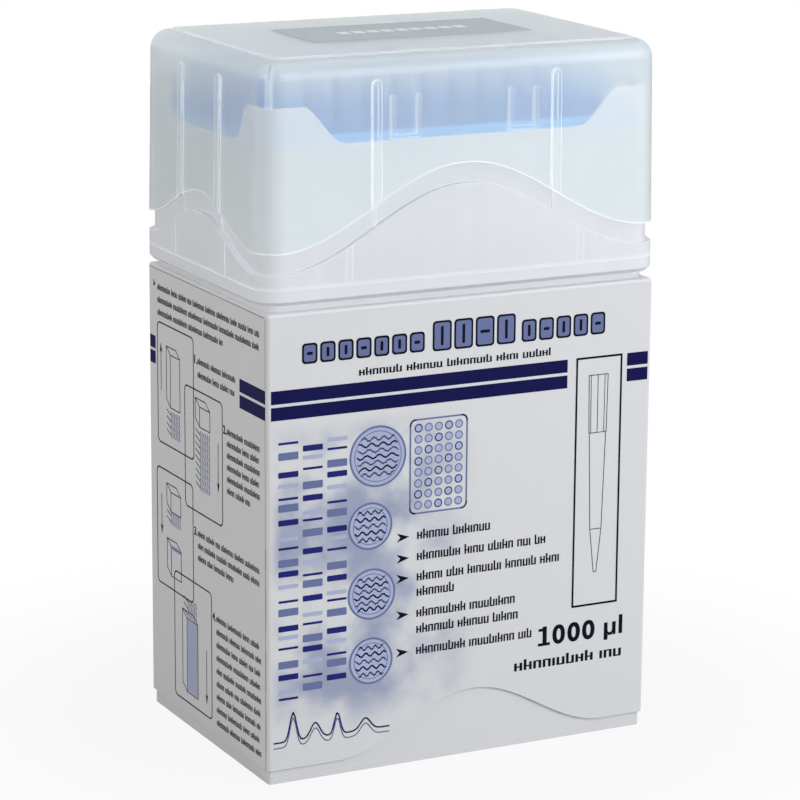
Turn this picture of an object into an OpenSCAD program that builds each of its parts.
// Starter pack of 1000 microlitre pipette tips. A folded card carton holds a
// nested stack of refill trays, and a clear rack box with one tray of tips
// stands on top of it. Origin: middle of the carton's foot, +Z up, front at -Y.

/* [Tip] */
// Length of one tip
tip_len = 60; // [56:0.5:64]
// Length of the wide hub that sits on the tray
hub_len = 17.4; // [15:0.2:19]
// Outer diameter of the hub
hub_d = 7.0; // [6.7:0.05:7.4]
// Outer diameter of the tip just under the hub
body_d = 5.8; // [5.7:0.02:5.9]
// Outer diameter of the tip at the step above its point
step_d = 4.2; // [4.15:0.01:4.25]
// Height of the step above the point
step_z = 13.2; // [12:0.1:14]
// Outer diameter of the point
point_d = 1.05; // [0.9:0.05:1.3]
// Wall of the tip
tip_wall = 0.45; // [0.4:0.01:0.46]
// Wall of the tip at its point
point_wall = 0.25; // [0.2:0.01:0.3]
// How far the tip steps out above its point, on the radius
step_out = 0.2; // [0.15:0.01:0.25]

/* [Tray] */
// Spacing of the tips
pitch = 9; // [8.9:0.05:9.1]
// Width of a tray, along the front
tray_w = 119.8; // [116:0.2:124]
// Depth of a tray
tray_d = 77.6; // [75:0.2:82]
// Corner radius of a tray
tray_r = 4.2; // [3:0.1:6]
// Thickness of the tray's plate
plate_t = 1.4; // [1:0.1:1.8]
// Height of the lip round the tray's edge, above the plate
lip_h = 1.6; // [1:0.1:3]
// Thickness of that lip
lip_t = 0.9; // [0.7:0.1:1.5]
// Clearance of a tip in its hole, on the radius
hole_gap = 0.15; // [0.1:0.01:0.2]

/* [Carton] */
// Thickness of the card
card_t = 0.5; // [0.4:0.05:0.7]
// Room beside the trays, at the ends of the carton
end_room = 0.85; // [0.5:0.05:3]
// Room in front of and behind the trays
front_room = 2.25; // [0.5:0.05:5]
// Clearance between the base tray and the sleeve that slides over it
slide_gap = 0.25; // [0.15:0.05:0.5]
// Outer radius of the card's folds
fold_r = 1.2; // [1:0.1:2]
// Outer radius of the folds round the sleeve's top
top_fold = 0.9; // [0.5:0.05:0.95]
// Height of the base tray's walls
base_h = 38; // [30:1:40]
// Height of the sleeve's lower edge above the ground
reveal = 4.3; // [2:0.1:8]
// Height of the thumb cut-out in the sleeve's lower edge
cutout_h = 15.7; // [8:0.5:20]
// Width of that cut-out
cutout_w = 88; // [60:1:100]
// How far the cut-out's middle lies to the right of the carton's
cutout_x = 4; // [-6:0.5:6]

/* [Rack box] */
// Clearance between a tray and the rack box round it
tray_gap = 0.4; // [0.3:0.05:0.8]
// Wall of the rack box's base at the tray, from the cavity to the outer face
rim_in = 3.6; // [3.4:0.05:4.2]
// Corner radius of the rack box
rack_r = 8; // [7:0.5:10]
// Wall of the mouldings
wall = 1.3; // [1.1:0.05:1.5]
// Width of the ledge outside the upright inner wall
ledge_in = 1.8; // [1.7:0.05:2]
// Inward lean of the walls, in millimetres for each millimetre of height
lean = 0.016; // [0.008:0.001:0.018]
// Height of the foot under the rack box
foot_h = 2.1; // [1.5:0.1:3]
// How far the foot is set in
foot_in = 3; // [2.4:0.1:5]
// Height of the ledge at the corners, above the rack box's bottom
ledge_z = 10.8; // [9.5:0.1:12]
// Gap between the ledge and the lid's lower edge
lid_gap = 5.8; // [4:0.1:8]
// Height of the wave in the long walls
wave_long = 22; // [14:0.5:24]
// Height of the wave in the short walls
wave_short = 11.5; // [6:0.5:14]
// Room between the tips and the lid
head_room = 4.6; // [4.4:0.1:8]
// Radius of the lid's top edge
top_r = 5.4; // [4:0.1:6.5]
// Height that the lid's plateau stands up
plateau_h = 0.5; // [0.3:0.1:1]
// How far the plateau is set in
plateau_in = 6.6; // [6.5:0.1:10]
// Corner radius of the plateau
plateau_r = 3; // [2:0.1:5]
// Width of the guide ridges in the lid
ridge_w = 3; // [2.6:0.1:4]
// How far the guide ridges and the base's ribs stand out
ridge_out = 0.6; // [0.3:0.05:0.8]
// Distance of the lid's ridges from the middle, on the long walls
ridge_x = 28.5; // [25:0.5:32]
// Distance of the lid's ridges from the middle, on the short walls
ridge_y = 13; // [10:0.5:16]
// Distance of the base's ribs from the middle, on the long walls
rib_x = 37; // [33:0.5:42]
// Distance of the base's ribs from the middle, on the short walls
rib_y = 17.5; // [15:0.5:20]
// Distance of the lid's latches from the middle
latch_x = 18.7; // [15:0.1:22]
// Width of a latch
latch_w = 9; // [7:0.5:11]
// Height of a latch
latch_h = 12; // [9:0.5:14]

/* [Print] */
// Height of the lower edge of the lower band above the ground
band_z = 107.1; // [95:0.1:115]
// Height of one band
band_h = 3.8; // [2:0.1:5]
// Gap between the two bands
band_gap = 0.9; // [0.5:0.1:3]
// Thickness of the ink layer
ink_t = 0.06; // [0.05:0.01:0.1]
// Left edge of the framed tip drawing
frame_x = 37; // [30:0.5:38]
// Width of the framed tip drawing
frame_w = 15; // [12:0.5:17]
// Height of the framed tip drawing's lower edge
frame_z = 40; // [34:0.5:50]
// Width of a printed line
line_w = 0.5; // [0.4:0.05:0.8]
// Width of the printed panel on the lid
label_w = 70; // [50:1:90]
// Depth of that panel
label_d = 30; // [20:1:40]
// How far the panel lies to the right of the lid's middle
label_x = 2; // [-5:0.5:5]
// How far the panel lies behind the lid's middle
label_y = 3; // [-5:0.5:5]

/* [Hidden] */
$fn = 48;

// The tip grid
COLUMNS = 12;
ROWS = 8;
REFILLS = 5;
rest_gap = 0.1;                              // play where one piece rests on another
through = 1;                                 // how far a cut runs past what it cuts

// The stack: each tray's hubs stop under the next tray's plate
nest_pitch = hub_len + plate_t + rest_gap;
stack_z = card_t + rest_gap;
stack_top = stack_z + tip_len + (REFILLS - 1) * nest_pitch;
hole_r = body_d / 2 + hole_gap;

// The carton, built round the stack
base_w = tray_w + 2 * (end_room + card_t);
base_d = tray_d + 2 * (front_room + card_t);
sleeve_w = base_w + 2 * (slide_gap + card_t);
sleeve_d = base_d + 2 * (slide_gap + card_t);
top_t = 2 * card_t;                          // the sleeve's top is two flaps thick
carton_h = stack_top + rest_gap + top_t;

// The rack box, built round one tray; heights from its own bottom
rack_w = tray_w + 2 * (tray_gap + rim_in);
rack_d = tray_d + 2 * (tray_gap + rim_in);
floor_top = foot_h + wall;
tip_end_z = floor_top + 1;                   // room under the points
plate_top = tip_end_z + tip_len - hub_len;
tips_top = tip_end_z + tip_len;
lid_z = ledge_z + lid_gap;
lid_h = tips_top + head_room + wall - plateau_h - lid_z;
rim_low = plate_top - 1;                     // upright wall's edge along the middles
rim_high = plate_top + 9.8;                  // and at the corners
rim_run = 9;                                 // slope between the two on the short walls
rim_run_long = 15;                           // and on the long walls
rim_corner = 12;                             // level part of that edge at each corner
rim_edge = 0.3;                              // rounding of that edge
chamfer = 1.2;                               // bottom edge of the base
band_top = foot_h + 5;                       // top of the plain band round the base
band_line = 0.5;                             // height of the fine groove above that band
wave_end = 5;                                // level part of the wave at each corner
rack_low_w = rack_w + 2 * lean * (lid_z - foot_h);
rack_low_d = rack_d + 2 * lean * (lid_z - foot_h);
ridge_hollow = ridge_w / 2 + 0.3;            // width of a ridge's hollow back
rib_t = ridge_w / 3;                         // thickness of the base's inner ribs
blade_t = 1.2;                               // thickness of the blades that carry a load
root = 0.6;                                  // how far a rib or blade is sunk in its wall

function row_y(row) = (row - (ROWS - 1) / 2) * pitch;
function column_x(column) = (column - (COLUMNS - 1) / 2) * pitch;
// A smooth rise and fall over the length 2 * half, as a list of points
function wave(half, low, rise, middle = 0, steps = 32) =
    [for (i = [0 : steps]) let (x = half * (2 * i / steps - 1))
        [middle + x, low + rise * (1 + cos(180 * x / half)) / 2]];
// A level low edge with a smooth slope up to each end, as a list of points
function dip(half, run, low, high, steps = 10) =
    concat([for (i = [0 : steps]) [-half + run * i / steps,
                high - (high - low) * (1 - cos(180 * i / steps)) / 2]],
           [for (i = [0 : steps]) [half - run + run * i / steps,
                low + (high - low) * (1 - cos(180 * i / steps)) / 2]]);

module round_rect(w, d, r) {
    square([w - 2 * r, d], center = true);
    square([w, d - 2 * r], center = true);
    for (x = [-1, 1], y = [-1, 1])
        translate([x * (w / 2 - r), y * (d / 2 - r)]) circle(r);
}

// Section of a moulded wall from its corner's axis outwards
module edge_profile(r, h, fall, edge) {
    r_top = r - fall;
    intersection() {
        union() {
            polygon([[0, 0], [r, 0], [r_top, h - edge], [0, h - edge]]);
            square([max(r_top - edge, 0.01), h]);
            translate([r_top - edge, h - edge]) circle(edge);
        }
        square([r, h]);
    }
}

// A moulded block: round corners, leaning walls and a rounded top edge
module block(w, d, r, h, fall, edge) {
    cx = w / 2 - r;
    cy = d / 2 - r;
    translate([-cx, -cy, 0]) cube([2 * cx, 2 * cy, h]);
    for (turn = [0, 180]) rotate([0, 0, turn]) {
        translate([cx, 0, 0]) rotate([90, 0, 0])
            linear_extrude(2 * cy, center = true) edge_profile(r, h, fall, edge);
        translate([0, cy, 0]) rotate([90, 0, 90])
            linear_extrude(2 * cx, center = true) edge_profile(r, h, fall, edge);
        translate([cx, cy, 0]) rotate_extrude(angle = 90) edge_profile(r, h, fall, edge);
        translate([-cx, cy, 0]) rotate([0, 0, 90])
            rotate_extrude(angle = 90) edge_profile(r, h, fall, edge);
    }
}

// Everything below a wave along X, right through the depth
module below_x(points, depth) {
    last = len(points) - 1;
    reach = depth + points[last][0];
    rotate([90, 0, 0]) linear_extrude(2 * depth, center = true)
        polygon(concat([[-reach, -through], [-reach, points[0][1]]], points,
            [[reach, points[last][1]], [reach, -through]]));
}

module below_y(points, depth) {
    rotate([0, 0, 90]) below_x(points, depth);
}

// Everything between a wave along X and the height z, over the wave's length only
module between_x(points, z, depth) {
    last = len(points) - 1;
    rotate([90, 0, 0]) linear_extrude(2 * depth, center = true)
        polygon(concat([[points[0][0], z]], points, [[points[last][0], z]]));
}

// One hollow tip, point down
module tip() {
    hub_z = tip_len - hub_len;
    rotate_extrude()
        polygon([[point_d / 2 - point_wall, 0], [point_d / 2, 0],
            [step_d / 2 - step_out, step_z], [step_d / 2, step_z],
            [body_d / 2, hub_z], [hub_d / 2, hub_z], [hub_d / 2, tip_len],
            [hub_d / 2 - tip_wall, tip_len], [hub_d / 2 - tip_wall, hub_z + tip_wall],
            [body_d / 2 - tip_wall, hub_z], [step_d / 2 - tip_wall, step_z],
            [step_d / 2 - tip_wall - step_out, step_z]]);
}

module tip_rows(first, last, z) {
    for (row = [first : last], column = [0 : COLUMNS - 1])
        translate([column_x(column), row_y(row), z]) tip();
}

// A tray: drilled plate with an upright lip, its plate's top at z
module tip_tray(z) {
    translate([0, 0, z - plate_t]) difference() {
        linear_extrude(plate_t + lip_h) round_rect(tray_w, tray_d, tray_r);
        translate([0, 0, plate_t]) linear_extrude(lip_h + through)
            round_rect(tray_w - 2 * lip_t, tray_d - 2 * lip_t, tray_r - lip_t);
        for (row = [0 : ROWS - 1], column = [0 : COLUMNS - 1])
            translate([column_x(column), row_y(row), -through])
                cylinder(r = hole_r, h = plate_t + 2 * through);
    }
}

module refill_tray(level) {
    color("steelblue")
        tip_tray(stack_z + (level - 1) * nest_pitch + tip_len - hub_len);
}

module refill_tips(level, first, last) {
    color("white") tip_rows(first, last, stack_z + (level - 1) * nest_pitch);
}

// Shallow folded card tray under the stack
module carton_base() {
    color("ghostwhite") difference() {
        linear_extrude(base_h) round_rect(base_w, base_d, fold_r - card_t / 2);
        translate([0, 0, card_t]) linear_extrude(base_h)
            round_rect(base_w - 2 * card_t, base_d - 2 * card_t, (fold_r - card_t) / 2);
    }
}

// Tall card sleeve with a closed top and a thumb cut-out front and back
module sleeve() {
    color("whitesmoke") difference() {
        translate([0, 0, reveal])
            block(sleeve_w, sleeve_d, fold_r, carton_h - reveal, 0, top_fold);
        linear_extrude(carton_h - top_t)
            round_rect(sleeve_w - 2 * card_t, sleeve_d - 2 * card_t, fold_r - card_t);
        between_x(wave(cutout_w / 2, reveal, cutout_h, cutout_x), 0, sleeve_d);
    }
}

// A flat patch of ink on the front; its place is [x, z, width, height]
module front_ink(place) {
    translate([place[0], -sleeve_d / 2 - ink_t, place[1]]) cube([place[2], ink_t, place[3]]);
}

// The same on the left side, as [y, z, width, height]
module side_ink(place) {
    translate([-sleeve_w / 2 - ink_t, place[0], place[1]]) cube([ink_t, place[2], place[3]]);
}

module front_frame(x, z, w, h) {
    translate([x, -sleeve_d / 2, z]) rotate([90, 0, 0]) linear_extrude(ink_t)
        difference() {
            square([w, h]);
            translate([line_w, line_w]) square([w - 2 * line_w, h - 2 * line_w]);
        }
}

module side_frame(y, z, w, h, r) {
    translate([-sleeve_w / 2, y + w / 2, z + h / 2]) rotate([90, 0, -90])
        linear_extrude(ink_t) difference() {
            round_rect(w, h, r);
            round_rect(w - 2 * line_w, h - 2 * line_w, r - line_w);
        }
}

// Two dark bands round the front and the left side
module band_print() {
    before_frame = 3.2;
    after_frame = 1.8;
    side_len = 17.3;
    corner_len = 4;
    front_x = sleeve_w / 2 - fold_r;
    side_y = sleeve_d / 2 - fold_r;
    stub_x = frame_x + frame_w + after_frame;
    color("midnightblue") for (level = [0, 1]) {
        z = band_z + level * (band_h + band_gap);
        front_ink([-front_x, z, front_x + frame_x - before_frame, band_h]);
        front_ink([stub_x, z, front_x - stub_x, band_h]);
        side_ink([-side_y, z, side_len, band_h]);
        side_ink([side_y - corner_len, z, corner_len, band_h]);
    }
}

// Fields of colour for the front's picture, headings, list and tip drawing
module front_print() {
    heading = [-50, band_z + 14.2, 96, 5];
    subheading = [-33, band_z + 10.2, 64, 1.6];
    volume = [24, 26.5, 29, 4];
    under_volume = [19, 21.5, 35, 2];
    picture = [-56, 24, 32, 80];
    list_x = -15;
    list_top = 66.5;
    list_pitch = 7.6;
    list_len = 40;
    list_step = 6;
    frame_top = band_z + 2 * band_h + band_gap;
    draw_end = frame_z + 10;
    draw_h = frame_top - 4 - draw_end;
    hub = 3.1;                               // half width of the drawn tip's hub
    body = 2.6;
    step = 1.7;
    point = 0.5;
    color("slategray") {
        front_frame(frame_x, frame_z, frame_w, frame_top - frame_z);
        // The drawn tip, as its side view
        translate([frame_x + frame_w / 2, -sleeve_d / 2, draw_end]) rotate([90, 0, 0])
            linear_extrude(ink_t) for (side = [0, 1]) mirror([side, 0])
                polygon([[0, 0], [point, 0], [step, 0.22 * draw_h], [body, 0.7 * draw_h],
                    [hub, 0.7 * draw_h], [hub, draw_h], [0, draw_h]]);
        front_ink(heading);
        front_ink(subheading);
        for (line = [0 : 4])
            front_ink([list_x, list_top - list_pitch * line,
                list_len + list_step * (line % 2), 2]);
        front_ink(volume);
        front_ink(under_volume);
    }
    color("lightsteelblue") front_ink(picture);
}

// Four framed steps and three lines of text on the left side
module side_print() {
    steps = [[8.5, 84.5, 27.5, 36.5], [-11.8, 68.5, 27.2, 37],
             [10, 42, 26.5, 33.5], [-2, 8, 26.5, 37]];
    frame_r = 3;
    note = [-30, 124.5, 64, 1.2];
    note_pitch = 3.2;
    color("slategray") for (place = steps)
        side_frame(place[0], place[1], place[2], place[3], frame_r);
    color("dimgray") for (line = [0 : 2])
        side_ink(note + [0, note_pitch * line, 0, 0]);
}

// Base of the rack box: outer wall up to a wavy ledge, upright wall inside it
module rack_base() {
    long_half = rack_w / 2 - wave_end;
    short_half = rack_d / 2 - wave_end;
    color("lavender", 0.6) translate([0, 0, carton_h]) difference() {
        union() {
            // Foot ring, chamfered bottom edge and outer wall under the ledge
            linear_extrude(foot_h + wall)
                round_rect(rack_w - 2 * foot_in, rack_d - 2 * foot_in, rack_r - foot_in);
            hull() {
                translate([0, 0, foot_h]) linear_extrude(0.01)
                    round_rect(rack_w - 2 * chamfer, rack_d - 2 * chamfer,
                        rack_r - chamfer, $fn = 32);
                translate([0, 0, foot_h + chamfer]) linear_extrude(0.01)
                    round_rect(rack_w, rack_d, rack_r, $fn = 32);
            }
            intersection() {
                union() {
                    translate([0, 0, foot_h + chamfer])
                        linear_extrude(ledge_z + wave_long) round_rect(rack_w, rack_d, rack_r);
                    outer_ribs();
                }
                union() {
                    below_x(wave(long_half, ledge_z, wave_long), rack_d);
                    below_y(wave(short_half, ledge_z, wave_short), rack_w);
                }
            }
            // Upright wall
            translate([0, 0, foot_h])
                block(rack_low_w - 2 * ledge_in, rack_low_d - 2 * ledge_in,
                    rack_r - ledge_in, rim_high - foot_h, lean * (rim_high - foot_h),
                    rim_edge);
            base_ribs();
        }
        // Cavity for the tray, and the wider one under the ledge
        translate([0, 0, floor_top]) linear_extrude(rim_high)
            round_rect(rack_w - 2 * rim_in, rack_d - 2 * rim_in, rack_r - rim_in);
        intersection() {
            translate([0, 0, floor_top]) linear_extrude(ledge_z + wave_long)
                round_rect(rack_w - 2 * wall, rack_d - 2 * wall, rack_r - wall);
            translate([0, 0, -wall]) union() {
                below_x(wave(long_half, ledge_z, wave_long), rack_d);
                below_y(wave(short_half, ledge_z, wave_short), rack_w);
            }
        }
        // Fine groove above the plain band
        translate([0, 0, band_top - band_line]) linear_extrude(band_line) difference() {
            square([2 * rack_w, 2 * rack_d], center = true);
            round_rect(rack_w - band_line, rack_d - band_line, rack_r - band_line / 2);
        }
        // Hollow of the foot
        translate([0, 0, -through]) linear_extrude(foot_h + through)
            round_rect(rack_w - 2 * (foot_in + wall), rack_d - 2 * (foot_in + wall),
                rack_r - foot_in - wall);
        // Lower edge of the upright wall along the middle of each side
        between_x(dip(rack_w / 2 - rim_corner, rim_run_long, rim_low, rim_high + through),
            rim_high + 2 * through, rack_d);
        rotate([0, 0, 90])
            between_x(dip(rack_d / 2 - rim_corner, rim_run, rim_low, rim_high + through),
                rim_high + 2 * through, rack_w);
    }
    color("lavender", 0.6) translate([0, 0, carton_h]) tray_rests();
}

// Guide ribs on the upright wall
module base_ribs() {
    guide_top = rim_low - 2;
    out = rim_in - root - ledge_in + ridge_out;
    for (turn = [0, 180]) rotate([0, 0, turn]) {
        for (x = [-ridge_x, ridge_x])
            translate([x - rib_t / 2, rack_d / 2 - rim_in + root, ledge_z])
                cube([rib_t, out, guide_top - ledge_z]);
        for (y = [-ridge_y, ridge_y])
            translate([rack_w / 2 - rim_in + root, y - rib_t / 2, ledge_z])
                cube([out, rib_t, guide_top - ledge_z]);
    }
}

// Short ribs on the outer wall, from the lower band up to the ledge
module outer_ribs() {
    out = ridge_out / 2;
    for (turn = [0, 180]) rotate([0, 0, turn]) {
        for (x = [-rib_x, rib_x])
            translate([x - rib_t, rack_d / 2 - wall / 2, band_top])
                cube([2 * rib_t, wall / 2 + out, ledge_z + wave_long]);
        for (y = [-rib_y, rib_y])
            translate([rack_w / 2 - wall / 2, y - rib_t, band_top])
                cube([wall / 2 + out, 2 * rib_t, ledge_z + wave_long]);
    }
}

// Blades inside the base that carry the tray's edge
module tray_rests() {
    blade_in = 2;
    beside_rib = 8;
    low = floor_top - wall / 4;
    for (turn = [0, 180]) rotate([0, 0, turn])
        for (x = [-1, 1] * (rib_x + beside_rib))
            translate([x - blade_t / 2, rack_d / 2 - rim_in - blade_in, low])
                cube([blade_t, blade_in + root, plate_top - plate_t - low]);
}

// Lid of the rack box: leaning walls, wavy lower edge, plateau, guide ridges
module rack_lid() {
    fall = lean * lid_h;
    long_half = rack_w / 2 - wave_end;
    short_half = rack_d / 2 - wave_end;
    color("lightcyan", 0.6) translate([0, 0, carton_h + lid_z]) difference() {
        union() {
            block(rack_w, rack_d, rack_r, lid_h, fall, top_r);
            linear_extrude(lid_h + plateau_h)
                round_rect(rack_w - 2 * plateau_in, rack_d - 2 * plateau_in, plateau_r);
            lid_ridges(rack_w / 2, rack_d / 2, ridge_w, lid_h - top_r - 1);
        }
        lid_hollow(fall);
        between_x(wave(long_half, 0, wave_long), -through, rack_d);
        rotate([0, 0, 90]) between_x(wave(short_half, 0, wave_short), -through, rack_w);
    }
    color("lightcyan", 0.6) translate([0, 0, carton_h]) {
        lid_latches();
        lid_stops(fall);
    }
}

// Blades in the lid's corners that stop on the base's upright wall
module lid_stops(fall) {
    blade_z = rim_high + rest_gap;
    intersection() {
        translate([0, 0, lid_z])
            block(rack_w - wall, rack_d - wall, rack_r - wall / 2, lid_h - wall / 2, fall,
                top_r - wall / 2);
        for (x = [-1, 1], y = [-1, 1])
            translate([x * (rack_w / 2 - rack_r), y * (rack_d / 2 - rack_r), blade_z])
                rotate([0, 0, atan2(y, x)]) translate([rack_r - rim_in - 1, -blade_t / 2, 0])
                    cube([rack_r, blade_t, lid_h]);
    }
}

module lid_hollow(fall) {
    union() {
        translate([0, 0, -0.001])
            block(rack_w - 2 * wall, rack_d - 2 * wall, rack_r - wall,
                lid_h - wall, fall, top_r - wall);
        linear_extrude(lid_h + plateau_h - wall)
            round_rect(rack_w - 2 * (plateau_in + wall), rack_d - 2 * (plateau_in + wall),
                plateau_r - 1);
        lid_ridges(rack_w / 2 - wall, rack_d / 2 - wall, ridge_hollow,
            lid_h - top_r - 2);
    }
}

// Upright ridges with round tops, standing out from faces at half_w and half_d
module lid_ridges(half_w, half_d, w, top) {
    sunk = 2;
    for (turn = [0, 180]) rotate([0, 0, turn]) {
        for (x = [-ridge_x, ridge_x])
            translate([x, half_d + ridge_out, 0]) rotate([90 + atan(lean), 0, 0])
                ridge(w, ridge_out + sunk, top);
        for (y = [-ridge_y, ridge_y])
            rotate([0, 0, -90]) translate([y, half_w + ridge_out, 0])
                rotate([90 + atan(lean), 0, 0]) ridge(w, ridge_out + sunk, top);
    }
}

module ridge(w, t, top) {
    linear_extrude(t) {
        translate([-w / 2, 0]) square([w, top - w / 2]);
        translate([0, top - w / 2]) circle(w / 2);
    }
}

// Latches that grip a tray's edge, inside the long walls
module lid_latches() {
    arm = 1;
    clear = 0.5;                             // kept from the tray's edge and the base's
    inner = rack_d / 2 - wall - lean * (rim_low - lid_z);
    out = inner - (tray_d / 2 + clear);      // from the wall's inner face to the tray
    for (turn = [0, 180]) rotate([0, 0, turn])
        for (x = [-latch_x, latch_x])
            translate([x, inner - out, rim_low + clear]) {
                for (side = [-1, 1])
                    translate([side * (latch_w - arm) / 2 - arm / 2, 0, 0])
                        cube([arm, out + root, latch_h]);
                translate([-latch_w / 2, 0, 0]) cube([latch_w, out + root, arm]);
            }
}

// Printed panel on the lid
module lid_label() {
    color("silver")
        translate([label_x, label_y, carton_h + lid_z + lid_h + plateau_h])
            linear_extrude(ink_t) square([label_w, label_d], center = true);
}

module rack_tray() {
    color("dodgerblue") tip_tray(carton_h + plate_top);
}

module rack_tips(row) {
    color("azure") tip_rows(row, row, carton_h + tip_end_z);
}

carton_base();
refill_tray(1);  // refill_tray_1
refill_tray(2);  // refill_tray_2
refill_tray(3);  // refill_tray_3
refill_tray(4);  // refill_tray_4
refill_tray(5);  // refill_tray_5
refill_tips(1, 0, 3);  // refill_tips_1_front
refill_tips(1, 4, 7);  // refill_tips_1_back
refill_tips(2, 0, 3);  // refill_tips_2_front
refill_tips(2, 4, 7);  // refill_tips_2_back
refill_tips(3, 0, 3);  // refill_tips_3_front
refill_tips(3, 4, 7);  // refill_tips_3_back
refill_tips(4, 0, 3);  // refill_tips_4_front
refill_tips(4, 4, 7);  // refill_tips_4_back
refill_tips(5, 0, 3);  // refill_tips_5_front
refill_tips(5, 4, 7);  // refill_tips_5_back
sleeve();
band_print();
front_print();
side_print();
rack_base();
rack_tray();
rack_tips(0);  // rack_tips_a
rack_tips(1);  // rack_tips_b
rack_tips(2);  // rack_tips_c
rack_tips(3);  // rack_tips_d
rack_tips(4);  // rack_tips_e
rack_tips(5);  // rack_tips_f
rack_tips(6);  // rack_tips_g
rack_tips(7);  // rack_tips_h
rack_lid();
lid_label();
